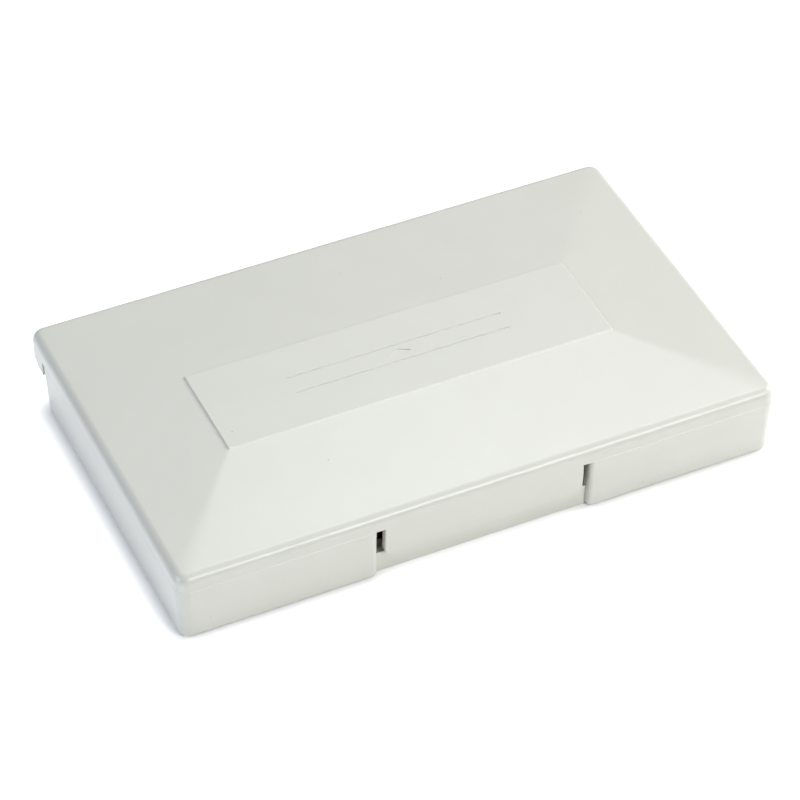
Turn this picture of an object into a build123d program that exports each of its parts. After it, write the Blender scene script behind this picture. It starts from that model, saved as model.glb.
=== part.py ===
from build123d import *
import os
from math import radians, tan

# Pocket watercolour box, closed. Millimetres, +Z up, origin on the table under the middle of the box.
# The front, with the latch, faces -Y, and the hinge runs along X at the rear.

# Box outside
LENGTH = 115.0
WIDTH = 71.4
SEAM_Z = 11.5
RIM_Z = 14.75
HIP_RISE = 1.1
PANEL_RISE = 0.3
TOTAL_Z = RIM_Z + HIP_RISE + PANEL_RISE
CORNER_R = 2.35
TOP_EDGE_R = 1.7
FOOT_EDGE_R = 1.0
DRAFT_DEG = 3.0

# Raised panel on the lid, with its engraved lozenge between two rules
PANEL_X = 75.2
PANEL_Y = 20.9
PANEL_BEVEL_DEG = 45.0
PANEL_CORNER_R = 0.35
RULE_LENGTH = 42.0
RULE_WIDTH = 0.4
RULE_GAP = 4.2
LOZENGE_X = 4.4
LOZENGE_Y = 2.2
ENGRAVE_DEPTH = 0.15

# Walls
LID_WALL = 1.2
LID_TOP = 1.3
BASE_WALL = 1.8
REAR_WALL = 1.4
FLOOR = 1.2
FIT_GAP = 0.15
LIP_HEIGHT = 1.0
LIP_WALL = 0.45
SEAM_CHAMFER = 0.12
INNER_CORNER_R = 1.9

# Hinge: the axis is at half the height, so that the lid lies flat beside the base when it is open
HINGE_Y = WIDTH / 2 - 2.45
HINGE_Z = TOTAL_Z / 2
BASE_REAR_Y = HINGE_Y - (WIDTH / 2 - HINGE_Y) - FIT_GAP
EAR_Y = HINGE_Y - 3.95
EAR_Z = 8.5
EAR_GAP = 0.06
KNUCKLE_R = 2.2
PIN_R = 1.0
PIN_RUNNING_GAP = 0.06
BASE_KNUCKLE_X = (46.0, 50.4)
KNUCKLE_GAP = 0.2
LID_KNUCKLE_LENGTH = 4.6
KNUCKLE_ROOT = 0.2
WEB_HALF = 1.5
KNUCKLE_CLEARANCE = 0.25
EAR_BORE_R = 1.2

# Latch: the tongue hangs from the lid's front edge over a recess in the base
TONGUE_HALF = 19.1
TONGUE_Z = 4.8
TONGUE_THICK = 1.2
TONGUE_CORNER_R = 1.4
TONGUE_EDGE_R = 0.35
RECESS_HALF = 20.4
RECESS_DEPTH = 1.3
RECESS_TOP_Z = 4.7
RECESS_CORNER_R = 1.0
RECESS_WALL = 1.2
SETBACK_Y = -WIDTH / 2 + 3.6
SETBACK_WALL = 1.2
CHEEK = 1.5
WINDOW_X = 16.4
CATCH_HALF = 12.0
CATCH_Z = 7.0
CATCH_REACH = 1.0
CATCH_HEIGHT = 0.9
CATCH_GAP = 0.08
BEAD_GAP_Z = 0.12

# Mixing wells under the lid
WELL_RIM_Z = 11.9
WELL_RIB = 1.2
WELL_HALF_X = 54.2
WELL_FRONT_Y = -WIDTH / 2 + 5.5
WELL_REAR_Y = WIDTH / 2 - 7.3
WELL_DIVIDER_X = (-27.0, 0.0, 27.0)

# Pan rack and half pans
COLUMNS = 6
ROWS = 2
PITCH_X = 18.2
PITCH_Y = 21.0
RACK_X = 109.4
RACK_Y = 43.0
RACK_HEIGHT = 7.5
RACK_CENTRE_Y = 6.9
POCKET_X = 16.5
POCKET_Y = 19.5
PAN_X = 16.0
PAN_Y = 19.0
PAN_HEIGHT = 10.0
PAN_TAPER = 1.0
PAN_R = 1.2
PAN_WALL = 0.9
PAN_FLOOR = 1.0
PAN_LIP = 0.35
PAN_LIP_HEIGHT = 0.8
CAKE_DROP = 1.6
CAKE_DISH = 0.5

# Travel brush, lying along X in the front of the base
BRUSH_Y = -26.8
BRUSH_Z = 5.2
BRUSH_TAIL_X = -50.0
HANDLE_END_X = 14.0
FERRULE_END_X = 32.0
BRUSH_TIP_X = 50.0
TAIL_R = 2.0
BELLY_X = -14.0
BELLY_R = 3.5
NECK_R = 2.6
FERRULE_WALL = 0.3
TENON_R = NECK_R - FERRULE_WALL - 0.05
FERRULE_END_R = 2.3
HAIR_BELLY_R = 2.7
SOCKET_DEPTH = 4.0
CRADLE_X = (-32.0, 23.0)
CRADLE_THICK = 1.4
CRADLE_REAR_Y = BRUSH_Y + 3.7
CRADLE_R = (3.35, 2.6)

os.makedirs("parts", exist_ok=True)

BASE_FRONT_Y = -WIDTH / 2
BASE_DEPTH = BASE_REAR_Y - BASE_FRONT_Y
BASE_CENTRE_Y = (BASE_REAR_Y + BASE_FRONT_Y) / 2
HINGE_AXIS_PLANE = Plane(origin=(0, HINGE_Y, HINGE_Z), x_dir=(0, 1, 0), z_dir=(1, 0, 0))


def span_box(low, high, mode=Mode.ADD):
    """A box from its lowest to its highest corner."""
    size = [h - l for l, h in zip(low, high)]
    centre = [(h + l) / 2 for l, h in zip(low, high)]
    with Locations(tuple(centre)):
        Box(*size, mode=mode)


def hinge_cylinder(radius, x_low, x_high, mode=Mode.ADD):
    """A cylinder about the hinge axis between two stations."""
    with BuildSketch(HINGE_AXIS_PLANE.offset(x_low)) as section:
        Circle(radius)
    extrude(section.sketch, amount=x_high - x_low, mode=mode)


def front_y(z):
    """The drafted front wall's outer face at a height."""
    return BASE_FRONT_Y + (SEAM_Z - z) * tan(radians(DRAFT_DEG))


def both_sides(span):
    """A span along +X and its mirror image along -X."""
    low, high = span
    return [(-high, -low), (low, high)]


# Base tray: drafted walls, floor, inner lip, latch recess and hinge knuckles
with BuildPart() as base_tray:
    with BuildSketch(Plane.XY.offset(SEAM_Z)):
        with Locations((0, BASE_CENTRE_Y)):
            RectangleRounded(LENGTH, BASE_DEPTH, CORNER_R)
    extrude(amount=-SEAM_Z, taper=DRAFT_DEG)
    fillet(base_tray.edges().group_by(Axis.Z)[0], FOOT_EDGE_R)
    chamfer(base_tray.edges().group_by(Axis.Z)[-1], SEAM_CHAMFER)

    # Recess under the latch, cut before the hollow so that its wall follows it
    with BuildSketch(Plane.YZ):
        with BuildLine():
            Polyline((BASE_FRONT_Y - RECESS_WALL, 0),
                     (front_y(0) + RECESS_DEPTH, 0),
                     (front_y(SEAM_Z) + RECESS_DEPTH, SEAM_Z),
                     (BASE_FRONT_Y - RECESS_WALL, SEAM_Z),
                     close=True)
        make_face()
    extrude(amount=RECESS_HALF, both=True, mode=Mode.SUBTRACT)
    recess_corners = (base_tray.edges().filter_by_position(Axis.Y, BASE_FRONT_Y - 1, BASE_FRONT_Y + RECESS_DEPTH)
                      .filter_by(lambda edge: abs(abs(edge.center().X) - RECESS_HALF) < 0.01))
    fillet(recess_corners.filter_by(lambda edge: edge.length > FOOT_EDGE_R * 2), RECESS_CORNER_R)

    cavity_depth = BASE_DEPTH - BASE_WALL - REAR_WALL
    cavity_centre_y = (BASE_REAR_Y - REAR_WALL + BASE_FRONT_Y + BASE_WALL) / 2
    with BuildSketch(Plane.XY.offset(SEAM_Z)):
        with Locations((0, cavity_centre_y)):
            RectangleRounded(LENGTH - 2 * BASE_WALL, cavity_depth, INNER_CORNER_R)
    extrude(amount=FLOOR - SEAM_Z, taper=DRAFT_DEG, mode=Mode.SUBTRACT)

    # Lip that stands inside the lid's rim on the front and both sides
    lip_outer = LID_WALL + FIT_GAP
    lip_inner = lip_outer + LIP_WALL
    with BuildSketch(Plane.XY.offset(SEAM_Z)):
        RectangleRounded(LENGTH - 2 * lip_outer, WIDTH - 2 * lip_outer, CORNER_R - lip_outer)
        RectangleRounded(LENGTH - 2 * lip_inner, WIDTH - 2 * lip_inner, CORNER_R - lip_inner,
                         mode=Mode.SUBTRACT)
        with Locations((0, WIDTH / 2)):
            Rectangle(LENGTH, 2 * (WIDTH / 2 - EAR_Y + BASE_WALL), mode=Mode.SUBTRACT)
    extrude(amount=LIP_HEIGHT)

    # Set-back wall behind the latch, with a cheek at each end and a narrow pocket in front of it
    wall_inner_y = SETBACK_Y + SETBACK_WALL
    cheek_half = RECESS_HALF + CHEEK
    for side in (-1, 1):
        low_x, high_x = sorted((side * RECESS_HALF, side * cheek_half))
        span_box((low_x, BASE_FRONT_Y + BASE_WALL, FLOOR), (high_x, wall_inner_y, SEAM_Z + LIP_HEIGHT))
    span_box((-RECESS_HALF, SETBACK_Y, FLOOR), (RECESS_HALF, wall_inner_y, SEAM_Z + LIP_HEIGHT))
    span_box((-RECESS_HALF, BASE_FRONT_Y - 1, RECESS_TOP_Z), (RECESS_HALF, SETBACK_Y, TOTAL_Z),
             mode=Mode.SUBTRACT)
    with BuildSketch(Plane.YZ):
        with BuildLine():
            Polyline((front_y(FLOOR) + RECESS_DEPTH + RECESS_WALL, FLOOR),
                     (SETBACK_Y, FLOOR),
                     (SETBACK_Y, RECESS_TOP_Z),
                     (front_y(RECESS_TOP_Z) + RECESS_DEPTH + RECESS_WALL, RECESS_TOP_Z),
                     close=True)
        make_face()
    extrude(amount=RECESS_HALF, both=True, mode=Mode.SUBTRACT)
    with BuildSketch(Plane.YZ):
        with BuildLine():
            Polyline((front_y(FLOOR) + RECESS_DEPTH, FLOOR),
                     (front_y(FLOOR) + RECESS_DEPTH + RECESS_WALL, FLOOR),
                     (front_y(RECESS_TOP_Z) + RECESS_DEPTH + RECESS_WALL, RECESS_TOP_Z),
                     (front_y(RECESS_TOP_Z) + RECESS_DEPTH, RECESS_TOP_Z),
                     close=True)
        make_face()
    extrude(amount=RECESS_HALF, both=True)

    # Windows at both ends of the set-back wall, so that the slots beside the tongue look into the tray
    for side in (-1, 1):
        low_x, high_x = sorted((side * WINDOW_X, side * RECESS_HALF))
        span_box((low_x, SETBACK_Y, RECESS_TOP_Z), (high_x, wall_inner_y, TOTAL_Z), mode=Mode.SUBTRACT)

    # Catch rib on the set-back wall
    span_box((-CATCH_HALF, SETBACK_Y - CATCH_REACH, CATCH_Z), (CATCH_HALF, SETBACK_Y, CATCH_Z + CATCH_HEIGHT))

    # Corners cut away for the lid's ears
    for side in (-1, 1):
        low_x, high_x = sorted((side * (LENGTH / 2 - lip_outer), side * LENGTH))
        span_box((low_x, EAR_Y - EAR_GAP, EAR_Z - EAR_GAP), (high_x, WIDTH, TOTAL_Z), mode=Mode.SUBTRACT)

    # Hinge knuckles on the rear wall
    for low_x, high_x in both_sides(BASE_KNUCKLE_X):
        hinge_cylinder(KNUCKLE_R, low_x, high_x)
        span_box((low_x, BASE_REAR_Y - REAR_WALL / 2, HINGE_Z - WEB_HALF),
                 (high_x, HINGE_Y, HINGE_Z + WEB_HALF))
        hinge_cylinder(PIN_R + PIN_RUNNING_GAP, low_x, high_x, mode=Mode.SUBTRACT)

    # Cradles for the brush
    for cradle_x, cradle_r in zip(CRADLE_X, CRADLE_R):
        span_box((cradle_x - CRADLE_THICK / 2, BASE_FRONT_Y + BASE_WALL, FLOOR),
                 (cradle_x + CRADLE_THICK / 2, CRADLE_REAR_Y, BRUSH_Z))
        with BuildSketch(Plane.YZ.offset(cradle_x - CRADLE_THICK / 2)):
            with Locations((BRUSH_Y, BRUSH_Z)):
                Circle(cradle_r)
        extrude(amount=CRADLE_THICK, mode=Mode.SUBTRACT)

# Lid cover: rim, hipped top, raised panel, ears, hinge knuckles and mixing wells
with BuildPart() as lid_cover:
    with BuildSketch(Plane.XY.offset(EAR_Z)):
        RectangleRounded(LENGTH, WIDTH, CORNER_R)
    extrude(amount=RIM_Z - EAR_Z)
    with BuildSketch(Plane.XY.offset(RIM_Z)):
        RectangleRounded(LENGTH, WIDTH, CORNER_R)
    with BuildSketch(Plane.XY.offset(RIM_Z + HIP_RISE)):
        RectangleRounded(PANEL_X, PANEL_Y, PANEL_CORNER_R)
    loft(ruled=True)
    top_edges = lid_cover.edges().filter_by_position(Axis.Z, RIM_Z - 0.01, RIM_Z + 0.01)
    fillet(top_edges, TOP_EDGE_R)
    with BuildSketch(Plane.XY.offset(RIM_Z + HIP_RISE)):
        RectangleRounded(PANEL_X, PANEL_Y, PANEL_CORNER_R)
    extrude(amount=PANEL_RISE, taper=PANEL_BEVEL_DEG)

    # Generic ornament: a lozenge between two fine rules
    with BuildSketch(Plane.XY.offset(TOTAL_Z)):
        with Locations((0, RULE_GAP / 2), (0, -RULE_GAP / 2)):
            Rectangle(RULE_LENGTH, RULE_WIDTH)
        with BuildLine():
            Polyline((LOZENGE_X / 2, 0), (0, LOZENGE_Y / 2), (-LOZENGE_X / 2, 0), (0, -LOZENGE_Y / 2),
                     close=True)
        make_face()
    extrude(amount=-ENGRAVE_DEPTH, mode=Mode.SUBTRACT)

    # Underside: the rim's inside and the shallow vault under the hipped top
    inner_x = LENGTH - 2 * LID_WALL
    inner_y = WIDTH - 2 * LID_WALL
    vault_z = RIM_Z - LID_TOP
    with BuildSketch(Plane.XY.offset(EAR_Z)):
        RectangleRounded(inner_x, inner_y, CORNER_R - LID_WALL)
    extrude(amount=vault_z - EAR_Z, mode=Mode.SUBTRACT)
    with BuildSketch(Plane.XY.offset(vault_z)):
        RectangleRounded(inner_x, inner_y, CORNER_R - LID_WALL)
    with BuildSketch(Plane.XY.offset(vault_z + HIP_RISE)):
        RectangleRounded(PANEL_X, PANEL_Y, PANEL_CORNER_R)
    loft(ruled=True, mode=Mode.SUBTRACT)

    # Below the seam only the rear wall and its two ears remain
    span_box((-LENGTH, -WIDTH, 0), (LENGTH, EAR_Y, SEAM_Z), mode=Mode.SUBTRACT)

    # Ribs of the mixing wells
    well_depth = WELL_REAR_Y - WELL_FRONT_Y
    with BuildSketch(Plane.XY.offset(WELL_RIM_Z)):
        with Locations((0, (WELL_REAR_Y + WELL_FRONT_Y) / 2)):
            RectangleRounded(2 * WELL_HALF_X, well_depth, INNER_CORNER_R)
            RectangleRounded(2 * (WELL_HALF_X - WELL_RIB), well_depth - 2 * WELL_RIB,
                             INNER_CORNER_R - WELL_RIB / 2, mode=Mode.SUBTRACT)
            for divider_x in WELL_DIVIDER_X:
                with Locations((divider_x, 0)):
                    Rectangle(WELL_RIB, well_depth - WELL_RIB)
    extrude(until=Until.NEXT)

    # Lid knuckles on each side of the base's, hung from the rear wall and the top
    lid_knuckles = [(BASE_KNUCKLE_X[1] + KNUCKLE_GAP, BASE_KNUCKLE_X[1] + KNUCKLE_GAP + LID_KNUCKLE_LENGTH),
                    (BASE_KNUCKLE_X[0] - KNUCKLE_GAP - LID_KNUCKLE_LENGTH, BASE_KNUCKLE_X[0] - KNUCKLE_GAP)]
    for span in lid_knuckles:
        for low_x, high_x in both_sides(span):
            hinge_cylinder(KNUCKLE_R, low_x, high_x)
            span_box((low_x, HINGE_Y - PIN_R, HINGE_Z), (high_x, WIDTH / 2 - LID_WALL / 2, vault_z + KNUCKLE_ROOT))

    # Windows in the rear wall for the base's knuckles, and the pins' bores
    window = (BASE_KNUCKLE_X[0] - KNUCKLE_GAP, BASE_KNUCKLE_X[1] + KNUCKLE_GAP)
    for low_x, high_x in both_sides(window):
        hinge_cylinder(KNUCKLE_R + KNUCKLE_CLEARANCE, low_x, high_x, mode=Mode.SUBTRACT)
        span_box((low_x, HINGE_Y, 0), (high_x, WIDTH, HINGE_Z + WEB_HALF + KNUCKLE_CLEARANCE),
                 mode=Mode.SUBTRACT)
    pin_span = (lid_knuckles[1][0], lid_knuckles[0][1])
    for low_x, high_x in both_sides(pin_span):
        hinge_cylinder(PIN_R, low_x, high_x, mode=Mode.SUBTRACT)
    for low_x, high_x in both_sides((pin_span[1], LENGTH)):
        hinge_cylinder(EAR_BORE_R, low_x, high_x, mode=Mode.SUBTRACT)

# Latch tongue: it curves in from the rim to the base's drafted front, and its bead snaps under the catch rib
with BuildPart() as latch_tongue:
    lower_outer = (front_y(TONGUE_Z), TONGUE_Z)
    with BuildSketch(Plane.YZ):
        with BuildLine():
            TangentArc((BASE_FRONT_Y, SEAM_Z), lower_outer, tangent=(0, -1))
            Line(lower_outer, (lower_outer[0] + TONGUE_THICK, TONGUE_Z))
            Line((lower_outer[0] + TONGUE_THICK, TONGUE_Z), (BASE_FRONT_Y + TONGUE_THICK, SEAM_Z))
            Line((BASE_FRONT_Y + TONGUE_THICK, SEAM_Z), (BASE_FRONT_Y, SEAM_Z))
        make_face()
    extrude(amount=TONGUE_HALF, both=True)
    lower_corners = latch_tongue.edges().filter_by(Axis.X, reverse=True).group_by(Axis.Z)[0]
    fillet(lower_corners, TONGUE_CORNER_R)
    outer_rim = latch_tongue.faces().filter_by(GeomType.CYLINDER).sort_by(Axis.Y)[0].edges()
    fillet(outer_rim.filter_by(lambda edge: edge.center().Z < SEAM_Z - 0.01), TONGUE_EDGE_R)
    bead_top_z = CATCH_Z - BEAD_GAP_Z
    bead_tip_y = SETBACK_Y - CATCH_REACH - CATCH_GAP
    span_box((-CATCH_HALF, BASE_FRONT_Y + TONGUE_THICK / 2, bead_top_z - CATCH_HEIGHT),
             (CATCH_HALF, bead_tip_y, bead_top_z))

# Hinge pins: plain steel, pressed into the lid and free in the base
with BuildPart() as hinge_pin_right:
    hinge_cylinder(PIN_R, *pin_span)
with BuildPart() as hinge_pin_left:
    hinge_cylinder(PIN_R, -pin_span[1], -pin_span[0])

# Pan rack: a moulded grid that locates the pans
with BuildPart() as pan_rack:
    with BuildSketch(Plane.XY.offset(FLOOR)):
        with Locations((0, RACK_CENTRE_Y)):
            RectangleRounded(RACK_X, RACK_Y, INNER_CORNER_R)
            with GridLocations(PITCH_X, PITCH_Y, COLUMNS, ROWS):
                RectangleRounded(POCKET_X, POCKET_Y, PAN_R, mode=Mode.SUBTRACT)
    extrude(amount=RACK_HEIGHT)


def pan_section(height, inset):
    """The pan's outline at a height above the floor, drawn in by an inset."""
    narrowing = PAN_TAPER * (1 - height / PAN_HEIGHT)
    RectangleRounded(PAN_X - 2 * (narrowing + PAN_LIP + inset), PAN_Y - 2 * (narrowing + PAN_LIP + inset),
                     PAN_R - 0.4 * inset)


def pan_loft(plane, low, high, inset, mode=Mode.ADD):
    """A tapered block between two heights of the pan."""
    with BuildSketch(plane.offset(low)) as lower:
        pan_section(low, inset)
    with BuildSketch(plane.offset(high)) as upper:
        pan_section(high, inset)
    loft([lower.sketch, upper.sketch], ruled=True, mode=mode)


def half_pan(x, y):
    """An open plastic cup with a small lip, standing on the base's floor."""
    plane = Plane((x, y, FLOOR))
    with BuildPart() as pan:
        pan_loft(plane, 0, PAN_HEIGHT, 0)
        with BuildSketch(plane.offset(PAN_HEIGHT - PAN_LIP_HEIGHT)):
            RectangleRounded(PAN_X, PAN_Y, PAN_R)
        extrude(amount=PAN_LIP_HEIGHT)
        pan_loft(plane, PAN_FLOOR, PAN_HEIGHT, PAN_WALL, mode=Mode.SUBTRACT)
    return pan.part


def paint_cake(x, y):
    """A dried block of paint that fills the pan, dished by use."""
    plane = Plane((x, y, FLOOR))
    top = PAN_HEIGHT - CAKE_DROP
    dish_r = ((PAN_X / 2 - PAN_WALL - PAN_TAPER) ** 2 + CAKE_DISH ** 2) / (2 * CAKE_DISH)
    with BuildPart() as cake:
        pan_loft(plane, PAN_FLOOR, top, PAN_WALL)
        with Locations((x, y, FLOOR + top - CAKE_DISH + dish_r)):
            Sphere(dish_r, mode=Mode.SUBTRACT)
    return cake.part


# Travel brush: wooden handle, metal ferrule and pointed hair
brush_plane = Plane(origin=(0, BRUSH_Y, BRUSH_Z), x_dir=(1, 0, 0), z_dir=(0, -1, 0))
brush_axis = Axis((0, BRUSH_Y, BRUSH_Z), (1, 0, 0))

with BuildPart() as brush_handle:
    with BuildSketch(brush_plane):
        with BuildLine():
            Line((BRUSH_TAIL_X, 0), (HANDLE_END_X + SOCKET_DEPTH, 0))
            Line((HANDLE_END_X + SOCKET_DEPTH, 0), (HANDLE_END_X + SOCKET_DEPTH, TENON_R))
            Line((HANDLE_END_X + SOCKET_DEPTH, TENON_R), (HANDLE_END_X, TENON_R))
            Line((HANDLE_END_X, TENON_R), (HANDLE_END_X, NECK_R))
            Spline((HANDLE_END_X, NECK_R), (BELLY_X, BELLY_R), (BRUSH_TAIL_X + TAIL_R, TAIL_R),
                   tangents=((-1, 0.02), (-1, 0)))
            TangentArc((BRUSH_TAIL_X + TAIL_R, TAIL_R), (BRUSH_TAIL_X, 0), tangent=(-1, 0))
        make_face()
    revolve(axis=brush_axis)

with BuildPart() as brush_ferrule:
    with BuildSketch(brush_plane):
        with BuildLine():
            Polyline((HANDLE_END_X, NECK_R - FERRULE_WALL),
                     (HANDLE_END_X, NECK_R),
                     (FERRULE_END_X, FERRULE_END_R),
                     (FERRULE_END_X, FERRULE_END_R - FERRULE_WALL),
                     (HANDLE_END_X + SOCKET_DEPTH, NECK_R - FERRULE_WALL),
                     close=True)
        make_face()
    revolve(axis=brush_axis)

with BuildPart() as brush_hair:
    with BuildSketch(brush_plane):
        hair_r = FERRULE_END_R - FERRULE_WALL
        with BuildLine():
            Line((FERRULE_END_X, 0), (FERRULE_END_X, hair_r))
            Spline((FERRULE_END_X, hair_r), (FERRULE_END_X + 0.3 * (BRUSH_TIP_X - FERRULE_END_X), HAIR_BELLY_R),
                   (BRUSH_TIP_X, 0), tangents=((1, 0.12), (1, -0.4)))
            Line((BRUSH_TIP_X, 0), (FERRULE_END_X, 0))
        make_face()
    revolve(axis=brush_axis)

pieces = {
    "base_tray": base_tray.part,
    "lid_cover": lid_cover.part,
    "latch_tongue": latch_tongue.part,
    "hinge_pin_left": hinge_pin_left.part,
    "hinge_pin_right": hinge_pin_right.part,
    "pan_rack": pan_rack.part,
    "brush_handle": brush_handle.part,
    "brush_ferrule": brush_ferrule.part,
    "brush_hair": brush_hair.part,
}
pan_places = [((column - (COLUMNS - 1) / 2) * PITCH_X, RACK_CENTRE_Y + ((ROWS - 1) / 2 - row) * PITCH_Y)
              for row in range(ROWS) for column in range(COLUMNS)]
for number, (pan_x, pan_y) in enumerate(pan_places, start=1):
    pieces[f"half_pan_{number:02d}"] = half_pan(pan_x, pan_y)
    pieces[f"paint_cake_{number:02d}"] = paint_cake(pan_x, pan_y)

for name, piece in pieces.items():
    piece.label = name
    export_step(piece, f"parts/{name}.step")
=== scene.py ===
import math
import random

import bpy
from mathutils import Matrix, Vector, noise


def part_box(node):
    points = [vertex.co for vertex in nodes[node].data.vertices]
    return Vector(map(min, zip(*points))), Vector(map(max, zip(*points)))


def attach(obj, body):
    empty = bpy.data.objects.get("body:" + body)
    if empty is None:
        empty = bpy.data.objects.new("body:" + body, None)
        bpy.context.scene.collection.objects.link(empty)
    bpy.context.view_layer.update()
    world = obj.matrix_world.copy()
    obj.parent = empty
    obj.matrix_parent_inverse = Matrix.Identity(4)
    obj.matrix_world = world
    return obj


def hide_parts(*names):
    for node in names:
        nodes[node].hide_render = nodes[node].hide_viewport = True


# Pocket watercolour box: looks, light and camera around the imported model. Metres.
MM = 0.001

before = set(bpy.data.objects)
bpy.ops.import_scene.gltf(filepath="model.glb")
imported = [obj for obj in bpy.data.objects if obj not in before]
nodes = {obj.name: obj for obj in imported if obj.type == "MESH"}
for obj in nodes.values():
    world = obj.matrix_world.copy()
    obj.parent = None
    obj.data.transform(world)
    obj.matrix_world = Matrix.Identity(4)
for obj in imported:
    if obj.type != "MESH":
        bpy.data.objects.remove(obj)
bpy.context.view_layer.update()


# Colours and nodes

def linear(hex_colour, alpha=1.0):
    """An sRGB hex colour as linear RGBA."""
    channels = [int(hex_colour[i:i + 2], 16) / 255 for i in (0, 2, 4)]
    return [c / 12.92 if c <= 0.04045 else ((c + 0.055) / 1.055) ** 2.4 for c in channels] + [alpha]


def add(tree, kind, inputs=None, **settings):
    """Adds a node. An input is a value, or the output socket that feeds it."""
    node = tree.nodes.new(kind)
    for name, value in settings.items():
        setattr(node, name, value)
    for name, value in (inputs or {}).items():
        socket = node.inputs[name]
        if isinstance(value, bpy.types.NodeSocket):
            tree.links.new(value, socket)
        else:
            socket.default_value = value
    return node


def new_material(name):
    """An empty node material, its tree and its output node."""
    material = bpy.data.materials.new(name)
    material.use_nodes = True
    tree = material.node_tree
    tree.nodes.clear()
    return material, tree, add(tree, "ShaderNodeOutputMaterial")


def ramp(tree, factor, stops):
    """A colour ramp from (position, linear colour) stops."""
    node = add(tree, "ShaderNodeValToRGB", {"Fac": factor})
    elements = node.color_ramp.elements
    while len(elements) < len(stops):
        elements.new(0.5)
    for element, (position, colour) in zip(elements, stops):
        element.position = position
        element.color = colour
    return node.outputs["Color"]


def grain(tree, size_mm, detail=2.0, stretch=(1, 1, 1)):
    """Noise whose lumps are about size_mm across, fixed to the piece."""
    place = add(tree, "ShaderNodeTexCoord").outputs["Object"]
    scaled = add(tree, "ShaderNodeMapping", {"Vector": place, "Scale": stretch})
    return add(tree, "ShaderNodeTexNoise", {"Vector": scaled.outputs["Vector"],
                                            "Scale": 1 / (size_mm * MM), "Detail": detail}).outputs["Fac"]


def spread(tree, value, low, high):
    """Maps a 0 to 1 value onto a range."""
    mapped = add(tree, "ShaderNodeMapRange", {"Value": value, "To Min": low, "To Max": high})
    return mapped.outputs["Result"]


def bumped(tree, height, depth_mm, strength=1.0):
    """A bump whose full height is depth_mm."""
    return add(tree, "ShaderNodeBump", {"Height": height, "Distance": depth_mm * MM,
                                        "Strength": strength}).outputs["Normal"]


# Materials

DUST_SPACING_MM = 3.2
DUST_EDGE = (0.030, 0.055)  # a speck's hard and soft radius, as shares of the spacing
DUST_RARITY = 0.86          # a place has a speck only if its random tint is lighter than this
SATIN_SWING = 0.012         # how far the roughness wanders


def moulded_plastic(name, colour, shade, roughness, ior, mottle_mm=9.0, peel_mm=0.9, peel_depth=0.004,
                    specks=0.0):
    """Injection-moulded plastic: an even, faintly mottled colour under a slight orange peel."""
    material, tree, output = new_material(name)
    mottle = grain(tree, mottle_mm, 3.0)
    base = ramp(tree, mottle, [(0.30, linear(shade)), (0.70, linear(colour))])
    if specks:
        place = add(tree, "ShaderNodeTexCoord").outputs["Object"]
        dust = add(tree, "ShaderNodeTexVoronoi", {"Vector": place, "Scale": 1 / (DUST_SPACING_MM * MM),
                                                  "Randomness": 1.0})
        hard, soft = DUST_EDGE
        dot = add(tree, "ShaderNodeMapRange", {"Value": dust.outputs["Distance"], "From Min": hard,
                                               "From Max": soft, "To Min": specks, "To Max": 0.0})
        rare = add(tree, "ShaderNodeMath", {0: dust.outputs["Color"], 1: DUST_RARITY},
                   operation="GREATER_THAN")
        amount = add(tree, "ShaderNodeMath", {0: dot.outputs["Result"], 1: rare.outputs["Value"]},
                     operation="MULTIPLY")
        base = add(tree, "ShaderNodeMix", {"Factor": amount.outputs["Value"], "A": base,
                                           "B": linear("8C8478")}, data_type="RGBA").outputs["Result"]
    peel = grain(tree, peel_mm, 2.0)
    surface = add(tree, "ShaderNodeBsdfPrincipled", {
        "Base Color": base,
        "Roughness": spread(tree, grain(tree, 2.5, 3.0), roughness - SATIN_SWING, roughness + SATIN_SWING),
        "IOR": ior,
        "Normal": bumped(tree, peel, peel_depth),
    })
    tree.links.new(surface.outputs["BSDF"], output.inputs["Surface"])
    return material


# High-impact polystyrene of the case: ivory, semi-gloss, with a few specks of dust in the skin
case_plastic = moulded_plastic("ivory_polystyrene", "E5E6DC", "E3E4DA", 0.32, 1.55, peel_depth=0.0015,
                               specks=0.45)
# The pan rack is the same plastic off a satin mould face
rack_plastic = moulded_plastic("satin_polystyrene", "DEDFD8", "D8D9D1", 0.50, 1.55, peel_mm=0.5)
# Half pans are thin white polypropylene, which the eye reads by its soft sheen
pan_plastic = moulded_plastic("white_polypropylene", "F1F1EE", "ECECE8", 0.36, 1.49)


def drawn_wire_steel():
    """Drawn steel wire: grey, with fine lengthwise scratches from the die."""
    material, tree, output = new_material("drawn_wire_steel")
    draw = grain(tree, 0.35, 2.0, stretch=(0.04, 1, 1))
    surface = add(tree, "ShaderNodeBsdfPrincipled", {
        "Base Color": ramp(tree, draw, [(0.2, linear("9A9A9C")), (0.8, linear("BDBDBF"))]),
        "Roughness": spread(tree, draw, 0.28, 0.42),
        "Metallic": 1.0,
        "Normal": bumped(tree, draw, 0.004),
    })
    tree.links.new(surface.outputs["BSDF"], output.inputs["Surface"])
    return material


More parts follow.
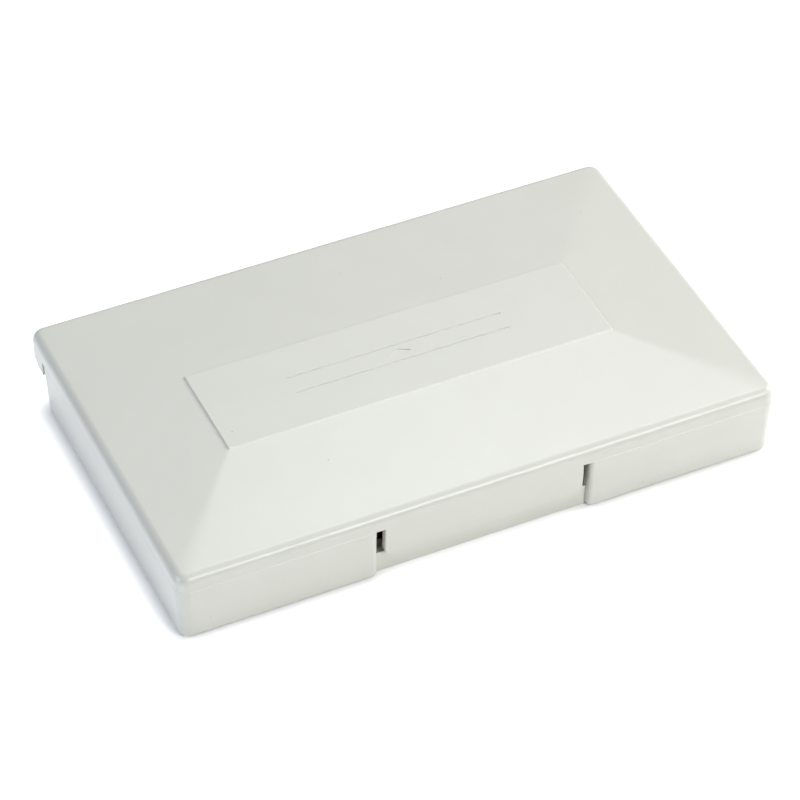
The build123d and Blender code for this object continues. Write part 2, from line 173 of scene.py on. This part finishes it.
def lacquered_beech():
    """Beech under deep red lacquer, its tail dipped in black. Grain shows faintly through the gloss."""
    material, tree, output = new_material("lacquered_beech")
    place = add(tree, "ShaderNodeTexCoord").outputs["Object"]
    along = add(tree, "ShaderNodeSeparateXYZ", {"Vector": place}).outputs["X"]
    rays = grain(tree, 0.8, 3.0, stretch=(0.08, 1, 1))
    wood = ramp(tree, rays, [(0.25, linear("5A1512")), (0.75, linear("84241C"))])
    low, high = DIPPED_TAIL_MM
    dip = add(tree, "ShaderNodeMapRange", {"Value": along, "From Min": low * MM, "From Max": high * MM})
    colour = add(tree, "ShaderNodeMix", {"Factor": dip.outputs["Result"], "A": linear("17130F"), "B": wood},
                 data_type="RGBA").outputs["Result"]
    surface = add(tree, "ShaderNodeBsdfPrincipled", {
        "Base Color": colour,
        "Roughness": spread(tree, grain(tree, 3.0, 2.0), 0.30, 0.42),
        "IOR": 1.50,
        "Coat Weight": 0.8,
        "Coat Roughness": 0.08,
        "Normal": bumped(tree, rays, 0.006),
    })
    tree.links.new(surface.outputs["BSDF"], output.inputs["Surface"])
    return material


def nickelled_brass():
    """Nickel plate on drawn brass: bright and warm grey, with rings of fine turning marks."""
    material, tree, output = new_material("nickelled_brass")
    turning = grain(tree, 0.25, 3.0, stretch=(1, 0.06, 0.06))
    surface = add(tree, "ShaderNodeBsdfPrincipled", {
        "Base Color": ramp(tree, turning, [(0.2, linear("B9B5AC")), (0.8, linear("D2CFC8"))]),
        "Roughness": spread(tree, turning, 0.18, 0.30),
        "Metallic": 1.0,
        "Normal": bumped(tree, turning, 0.005),
    })
    tree.links.new(surface.outputs["BSDF"], output.inputs["Surface"])
    return material


def sable_hair():
    """Red sable: brown hairs, darker at the ferrule and at the point, with a soft sheen along each hair."""
    material, tree, output = new_material("sable_hair")
    place = add(tree, "ShaderNodeTexCoord").outputs["Object"]
    along = add(tree, "ShaderNodeSeparateXYZ", {"Vector": place}).outputs["X"]
    low, high = HAIR_SPAN_MM
    reach = add(tree, "ShaderNodeMapRange", {"Value": along, "From Min": low * MM, "From Max": high * MM})
    body = ramp(tree, reach.outputs["Result"], [(0.0, linear("4A2A17")), (0.35, linear("8A5530")),
                                                (0.8, linear("6E4023")), (1.0, linear("2E1A0F"))])
    strand = grain(tree, 0.25, 2.0, stretch=(0.05, 1, 1))
    tint = ramp(tree, strand, [(0.3, linear("A89888")), (0.7, linear("FFFFFF"))])
    colour = add(tree, "ShaderNodeMix", {"Factor": 1.0, "A": body, "B": tint},
                 data_type="RGBA", blend_type="MULTIPLY").outputs["Result"]
    surface = add(tree, "ShaderNodeBsdfPrincipled", {
        "Base Color": colour,
        "Roughness": spread(tree, strand, 0.36, 0.52),
        "IOR": 1.55,
        "Sheen Weight": 0.15,
    })
    tree.links.new(surface.outputs["BSDF"], output.inputs["Surface"])
    return material


def dried_watercolour(name, colour, worn):
    """Pigment in gum arabic, poured and dried: a dull, grainy skin, worn lighter by brushes."""
    material, tree, output = new_material(name)
    wear = grain(tree, 3.5, 4.0)
    grit = grain(tree, 0.30, 3.0)
    surface = add(tree, "ShaderNodeBsdfPrincipled", {
        "Base Color": ramp(tree, wear, [(0.35, linear(colour)), (0.72, linear(worn))]),
        "Roughness": spread(tree, wear, 0.42, 0.72),
        "IOR": 1.48,
        "Normal": bumped(tree, grit, 0.05, 0.6),
    })
    tree.links.new(surface.outputs["BSDF"], output.inputs["Surface"])
    return material


def finish(piece, material):
    """Gives a piece or a CAD node its material."""
    slots = piece.data.materials
    slots.clear()
    slots.append(material)


DIPPED_TAIL_MM = (-44.2, -43.9)     # along the box, where the black dip fades into the red
HAIR_SPAN_MM = (32.0, 50.0)         # along the box, from the ferrule's mouth to the tip

steel = drawn_wire_steel()
finish(nodes["brush_handle"], lacquered_beech())
for name in ("base_tray", "lid_cover", "latch_tongue"):
    finish(nodes[name], case_plastic)
for name in ("hinge_pin_left", "hinge_pin_right"):
    finish(nodes[name], steel)
finish(nodes["pan_rack"], rack_plastic)
for name in nodes:
    if name.startswith("half_pan"):
        finish(nodes[name], pan_plastic)


# Pieces

def new_piece(name, points, faces, material, node):
    """A smooth mesh piece in the base, which stands for a CAD node."""
    mesh = bpy.data.meshes.new(name)
    mesh.from_pydata(points, [], faces)
    mesh.shade_smooth()
    piece = bpy.data.objects.new(name, mesh)
    bpy.context.scene.collection.objects.link(piece)
    finish(piece, material)
    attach(piece, "base")
    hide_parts(node)
    return piece


def skin(rings, closed_start=True, closed_end=True):
    """Quads between rings of points of equal count, with a flat face over each end that is closed."""
    count = len(rings[0])
    points = [point for ring in rings for point in ring]
    faces = []
    for row in range(len(rings) - 1):
        for i in range(count):
            j = (i + 1) % count
            here, there = row * count, (row + 1) * count
            faces.append((here + i, here + j, there + j, there + i))
    if closed_start:
        faces.append(tuple(reversed(range(count))))
    if closed_end:
        last = (len(rings) - 1) * count
        faces.append(tuple(range(last, last + count)))
    return points, faces


def rounded_outline(half_x, half_y, radius, corner_steps=6, side_steps=5):
    """Points round a rectangle with rounded corners, anticlockwise from its right side."""
    outline = []
    for quarter in range(4):
        centre_x = (half_x - radius) * (1 if quarter in (0, 3) else -1)
        centre_y = (half_y - radius) * (1 if quarter < 2 else -1)
        for step in range(corner_steps + 1):
            angle = math.radians(90 * (quarter + step / corner_steps))
            outline.append((centre_x + radius * math.cos(angle), centre_y + radius * math.sin(angle)))
        next_x = (half_x - radius) * (1 if quarter in (2, 3) else -1)
        next_y = (half_y - radius) * (1 if quarter in (0, 3) else -1)
        turn = math.radians(90 * (quarter + 1))
        goal = (next_x + radius * math.cos(turn), next_y + radius * math.sin(turn))
        start = outline[-1]
        for step in range(1, side_steps):
            share = step / side_steps
            outline.append(tuple(a + (b - a) * share for a, b in zip(start, goal)))
    return outline


CAKE_CORNER_MM = 1.0
CAKE_FOOT = 0.885           # the cake narrows with its pan
CAKE_DISH_MM = 0.55         # how far brushes have worn the middle
CAKE_MENISCUS_MM = 0.22     # how far the paint crept up the pan's walls as it dried
CAKE_CREEP_MM = 0.9         # how wide that creep is
CAKE_WALL_STEPS = (0.5, 0.97)   # heights of the rings on the cake's side, as shares of its height
CAKE_RINGS = 22
CAKE_RING_CROWDING = 1.15   # above 1, the top's rings crowd towards the wall
CAKE_TOP_REACH = 0.985      # how far the top's rings close in on the middle
HOLLOW_OFFSET = 0.25        # how far the hollow may lie off the middle, as a share of the half width
HOLLOW_REACH = 0.95
HOLLOW_DEPTHS = (0.65, 1.0)
UNEVEN_MM = 0.06            # height of the skin's unevenness
UNEVEN_LUMP_MM = 2.6
UNEVEN_EDGE_POWER = 6       # the unevenness dies out only close to the wall
NOISE_STRIDE = (17.3, 5.1)  # how far apart two cakes' noise lies


def paint_surface(node, seed):
    """A cake of paint: a meniscus at the walls, a worn hollow off the middle and a slightly uneven skin."""
    chance = random.Random(seed)
    low, high = (Vector(corner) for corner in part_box(node))
    centre = (low + high) / 2
    half = (high - low) / 2
    hollow = Vector([chance.uniform(-HOLLOW_OFFSET, HOLLOW_OFFSET) for _ in range(2)])
    depth = CAKE_DISH_MM * MM * chance.uniform(*HOLLOW_DEPTHS)
    shift = Vector([seed * stride for stride in NOISE_STRIDE] + [0])

    def ring(scale, z=None):
        outline = rounded_outline(half.x, half.y, CAKE_CORNER_MM * MM)
        points = []
        for x, y in outline:
            x, y = x * scale, y * scale
            if z is not None:
                points.append((centre.x + x, centre.y + y, z))
                continue
            inset = (1 - scale) * min(half.x, half.y)
            creep = CAKE_MENISCUS_MM * MM * math.exp(-inset / (CAKE_CREEP_MM * MM / 3))
            away = (Vector((x / half.x, y / half.y)) - hollow).length
            worn = depth * max(0.0, 1 - (away / HOLLOW_REACH) ** 2)
            lump = noise.noise(Vector((x, y, 0)) / (UNEVEN_LUMP_MM * MM) + shift)
            uneven = lump * UNEVEN_MM * MM * (1 - scale ** UNEVEN_EDGE_POWER)
            drop = CAKE_MENISCUS_MM * MM - creep + worn - uneven
            points.append((centre.x + x, centre.y + y, high.z - max(0.0, drop)))
        return points

    rings = [ring(CAKE_FOOT, low.z)]
    for share in CAKE_WALL_STEPS:
        rings.append(ring(1 - (1 - CAKE_FOOT) * (1 - share), low.z + (high.z - low.z) * share))
    for step in range(CAKE_RINGS + 1):
        rings.append(ring(1 - (step / CAKE_RINGS) ** CAKE_RING_CROWDING * CAKE_TOP_REACH))
    return skin(rings)


# Pigments by their common names, as poured and as worn, in the order of the numbered cakes
PIGMENTS = [
    ("lemon_yellow", "E8C81E", "F0D850"), ("cadmium_orange", "DB7A12", "E9983E"),
    ("vermilion", "B92A1B", "CB4A36"), ("crimson_lake", "7C1226", "96263C"),
    ("dioxazine_violet", "3A1A48", "553068"), ("ultramarine", "17256F", "2C3F93"),
    ("cerulean_blue", "1B6A9A", "3A8AB8"), ("viridian", "0F5244", "24705F"),
    ("sap_green", "4A6A1A", "66863A"), ("yellow_ochre", "B07F35", "C59A58"),
    ("burnt_sienna", "67301A", "824A30"), ("lamp_black", "151517", "2A2A2D"),
]
for number, (pigment, poured, worn) in enumerate(PIGMENTS, start=1):
    cake = f"paint_cake_{number:02d}"
    points, faces = paint_surface(cake, number)
    new_piece(f"dried_{pigment}", points, faces, dried_watercolour(f"{pigment}_watercolour", poured, worn),
              cake)


def turned(profile, axis_y, axis_z, sides):
    """Rings of a turned piece from its (x, radius) profile."""
    return [[(x, axis_y + radius * math.cos(2 * math.pi * i / sides),
              axis_z + radius * math.sin(2 * math.pi * i / sides)) for i in range(sides)]
            for x, radius in profile]


FERRULE_SIDES = 64
CRIMPS_MM = (3.0, 5.2)      # the two crimps that hold the handle, from the ferrule's rear end
CRIMP_DEPTH_MM = 0.13
CRIMP_WIDTH_MM = 0.55
FERRULE_WALL_MM = 0.3
FERRULE_TAPER_MM = 0.3      # how much the radius shrinks towards the mouth
FERRULE_STEPS = 72
REAR_ROLL_MM = 0.05
REAR_EASE_MM = 0.02
MOUTH_EASE_MM = 0.03
MOUTH_ROLL_MM = 0.2
MOUTH_DEPTH_MM = 2.0        # how deep the inside of the mouth is modelled


def crimped_ferrule():
    """The seamless ferrule: a drawn cone with two crimps and a rolled mouth where the hair comes out."""
    low, high = (Vector(corner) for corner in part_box("brush_ferrule"))
    axis_y, axis_z = (low.y + high.y) / 2, (low.z + high.z) / 2
    rear_r = (high.y - low.y) / 2
    mouth_r = rear_r - FERRULE_TAPER_MM * MM
    length = high.x - low.x
    outer = []
    for step in range(FERRULE_STEPS + 1):
        along = length * step / FERRULE_STEPS
        radius = rear_r + (mouth_r - rear_r) * along / length
        for crimp in CRIMPS_MM:
            off = (along - crimp * MM) / (CRIMP_WIDTH_MM * MM / 2)
            radius -= CRIMP_DEPTH_MM * MM * math.exp(-off ** 2)
        outer.append((low.x + along, radius))
    wall = FERRULE_WALL_MM * MM
    rolled_rear = [(low.x + REAR_ROLL_MM * MM, rear_r - wall),
                   (low.x, rear_r - wall / 2),
                   (low.x + REAR_ROLL_MM * MM, rear_r - REAR_EASE_MM * MM)]
    rolled_mouth = [(high.x - MOUTH_EASE_MM * MM, mouth_r - MOUTH_EASE_MM * MM),
                    (high.x, mouth_r - wall / 2),
                    (high.x - MOUTH_ROLL_MM * MM, mouth_r - wall),
                    (high.x - MOUTH_DEPTH_MM * MM, mouth_r - wall)]
    profile = rolled_rear + outer[1:-1] + rolled_mouth
    points, faces = skin(turned(profile, axis_y, axis_z, FERRULE_SIDES), False, False)
    new_piece("crimped_ferrule", points, faces, nickelled_brass(), "brush_ferrule")


HAIRS = 340
HAIR_STEPS = 9
HAIR_THICK_MM = 0.17
HAIR_ROOT_R_MM = 1.9
HAIR_TWIST = 0.10           # radians that a hair may wander round the tuft
HAIR_THINNING = 0.85        # share of its thickness that a hair loses by its tip
OUTER_HAIRS = 0.5           # from this share of the radius outwards, hairs are the shorter ones
OUTER_REACH = (0.90, 0.995)
CORE_REACH = (0.97, 1.0)
BELLY_AT = 0.31             # shares of the tuft's length, from the ferrule
BELLY_END = 0.62
CLOSING_POWER = 0.75        # below 1, the tuft stays full and then closes quickly
GOLDEN_ANGLE = math.radians(137.508)


def sable_tuft():
    """The tuft: hairs that leave the ferrule side by side, belly out and draw in to one point."""
    chance = random.Random(7)
    low, high = (Vector(corner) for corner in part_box("brush_hair"))
    axis_y, axis_z = (low.y + high.y) / 2, (low.z + high.z) / 2
    belly_r = (high.y - low.y) / 2 - 0.5 * HAIR_THICK_MM * MM
    root_r = HAIR_ROOT_R_MM * MM
    points, faces = [], []
    for hair in range(HAIRS):
        share = math.sqrt((hair + 0.5) / HAIRS)
        angle = hair * GOLDEN_ANGLE
        reach = (high.x - low.x) * chance.uniform(*(OUTER_REACH if share > OUTER_HAIRS else CORE_REACH))
        twist = chance.uniform(-HAIR_TWIST, HAIR_TWIST)
        spine = []
        for step in range(HAIR_STEPS + 1):
            t = step / HAIR_STEPS
            swell = (belly_r - root_r) * math.sin(math.pi * min(1.0, t / BELLY_END)) ** 2
            closing = ((1 - t) / (1 - BELLY_AT)) ** CLOSING_POWER if t > BELLY_AT else 1.0
            radius = share * min((root_r + swell) * closing, belly_r)
            spin = angle + twist * t
            spine.append(Vector((low.x + reach * t,
                                 axis_y + radius * math.cos(spin),
                                 axis_z + radius * math.sin(spin))))
        rings = []
        for step, place in enumerate(spine):
            thick = 0.5 * HAIR_THICK_MM * MM * (1 - HAIR_THINNING * (step / HAIR_STEPS) ** 2)
            rings.append([place + Vector((0, math.cos(a), math.sin(a))) * thick
                          for a in (angle, angle + 2 * math.pi / 3, angle + 4 * math.pi / 3)])
        hair_points, hair_faces = skin(rings)
        faces += [tuple(index + len(points) for index in face) for face in hair_faces]
        points += [tuple(point) for point in hair_points]
    new_piece("sable_tuft", points, faces, sable_hair(), "brush_hair")


crimped_ferrule()
sable_tuft()


# Stage: white floor, soft light and the photograph's viewing angle

def camera_rays(tree):
    """1 for what the camera sees directly, in gloss or through a clear material."""
    rays = add(tree, "ShaderNodeLightPath").outputs
    seen = add(tree, "ShaderNodeMath", {0: rays["Is Camera Ray"], 1: rays["Is Glossy Ray"]},
               operation="MAXIMUM")
    return add(tree, "ShaderNodeMath", {0: seen.outputs["Value"], 1: rays["Is Transmission Ray"]},
               operation="MAXIMUM").outputs["Value"]


FLOOR_SIZE = 1.6
FLOOR_GLOW = 0.80           # added where nothing stands close, so that the open floor reads as white; held back near the box as a painted contact shadow
PAINTED_SHADOW_MM = 3.0            # how near the box has to be for the painted shadow to darken the floor
PAINTED_SHADOW_FALL = 2.0


def build_floor():
    """A matt white sweep that clips to white away from the contact shadow, which is real shade on the paper
    deepened by painted shadow near the box.
    """
    half = FLOOR_SIZE / 2
    mesh = bpy.data.meshes.new("floor")
    corners = [(-half, -half, 0), (half, -half, 0), (half, half, 0), (-half, half, 0)]
    mesh.from_pydata(corners, [], [(0, 1, 2, 3)])
    floor = bpy.data.objects.new("floor", mesh)
    bpy.context.scene.collection.objects.link(floor)
    material, tree, output = new_material("white_paper_sweep")
    tooth = grain(tree, 0.6, 2.0)
    paper = add(tree, "ShaderNodeBsdfDiffuse", {
        "Color": ramp(tree, tooth, [(0.0, linear("F4F4F4")), (1.0, linear("F8F8F8"))]),
        "Normal": bumped(tree, tooth, 0.01),
    })
    # Painted shadow: ambient occlusion close to the box withholds the glow, so the floor darkens there
    # beyond its real shade
    painted_shadow_ao = add(tree, "ShaderNodeAmbientOcclusion", {"Distance": PAINTED_SHADOW_MM * MM}, samples=12).outputs["AO"]
    painted_shadow_fade = add(tree, "ShaderNodeMath", {0: painted_shadow_ao, 1: PAINTED_SHADOW_FALL}, operation="POWER").outputs["Value"]
    glow = add(tree, "ShaderNodeMath", {0: painted_shadow_fade, 1: FLOOR_GLOW}, operation="MULTIPLY").outputs["Value"]
    lift = add(tree, "ShaderNodeEmission", {"Color": linear("FFFFFF"), "Strength": glow})
    lifted = add(tree, "ShaderNodeAddShader", {0: paper.outputs["BSDF"], 1: lift.outputs["Emission"]})
    mixed = add(tree, "ShaderNodeMixShader", {0: camera_rays(tree), 1: paper.outputs["BSDF"],
                                              2: lifted.outputs["Shader"]})
    tree.links.new(mixed.outputs["Shader"], output.inputs["Surface"])
    finish(floor, material)


def build_world(ambient):
    """Even ambient light, white where the camera sees past the floor."""
    world = bpy.data.worlds.new("studio")
    bpy.context.scene.world = world
    world.use_nodes = True
    tree = world.node_tree
    tree.nodes.clear()
    rays = add(tree, "ShaderNodeLightPath").outputs["Is Camera Ray"]
    strength = add(tree, "ShaderNodeMix", {"Factor": rays, "A": ambient, "B": 1.0})
    sky = add(tree, "ShaderNodeBackground", {"Color": linear("FFFFFF"),
                                             "Strength": strength.outputs["Result"]})
    tree.links.new(sky.outputs["Background"], add(tree, "ShaderNodeOutputWorld").inputs["Surface"])


AMBIENT = 0.03
LAMP_AIM = Vector((0, 0, 10)) * MM

# Soft boxes: name, place and size in metres, power in watts, and colour
SOFT_BOXES = [
    ("front_key", (0.30, -0.78, 0.56), (0.42, 0.22), 4.5, "FFFFFF"),
    ("high_back", (0.34, 0.43, 0.84), (0.40, 0.30), 3.0, "FFFFFF"),
    ("left", (-0.90, 0.0, 0.40), (0.60, 0.40), 4.3, "E6EEFF"),
    ("right", (0.90, 0.0, 0.50), (0.60, 0.40), 6.2, "FFFFFF"),
]


def soft_light(name, place, size, power, colour):
    """A rectangular soft box at a place, facing the middle of the box."""
    lamp = bpy.data.lights.new(name, "AREA")
    lamp.shape = "RECTANGLE"
    lamp.size, lamp.size_y = size
    lamp.energy = power
    lamp.color = linear(colour)[:3]
    light = bpy.data.objects.new(name, lamp)
    light.location = place
    light.rotation_euler = (LAMP_AIM - Vector(place)).to_track_quat("-Z", "Y").to_euler()
    bpy.context.scene.collection.objects.link(light)


CAMERA_AIM = Vector((-1.52, -3.385, 8.0)) * MM
CAMERA_DISTANCE = 642.2 * MM
CAMERA_AZIMUTH = math.radians(24.604)
CAMERA_ELEVATION = math.radians(42.514)
CAMERA_ROLL = math.radians(-0.18)
CAMERA_LENS_MM = 160.9


def build_camera():
    """The photograph's camera: a long lens from the front left, held almost level."""
    level = math.cos(CAMERA_ELEVATION)
    look = Vector((math.sin(CAMERA_AZIMUTH) * level, math.cos(CAMERA_AZIMUTH) * level,
                   -math.sin(CAMERA_ELEVATION)))
    side = look.cross(Vector((0, 0, 1))).normalized()
    up = side.cross(look)
    right = side * math.cos(CAMERA_ROLL) + up * math.sin(CAMERA_ROLL)
    top = right.cross(look)
    data = bpy.data.cameras.new("camera")
    data.lens = CAMERA_LENS_MM
    data.sensor_width = 36.0
    data.clip_start = 0.01
    camera = bpy.data.objects.new("camera", data)
    spin = Matrix((right, top, -look)).transposed().to_4x4()
    camera.matrix_world = Matrix.Translation(CAMERA_AIM - look * CAMERA_DISTANCE) @ spin
    bpy.context.scene.collection.objects.link(camera)
    bpy.context.scene.camera = camera


build_floor()
build_world(AMBIENT)
for lamp in SOFT_BOXES:
    soft_light(*lamp)
build_camera()

bpy.context.scene.view_settings.view_transform = "Standard"
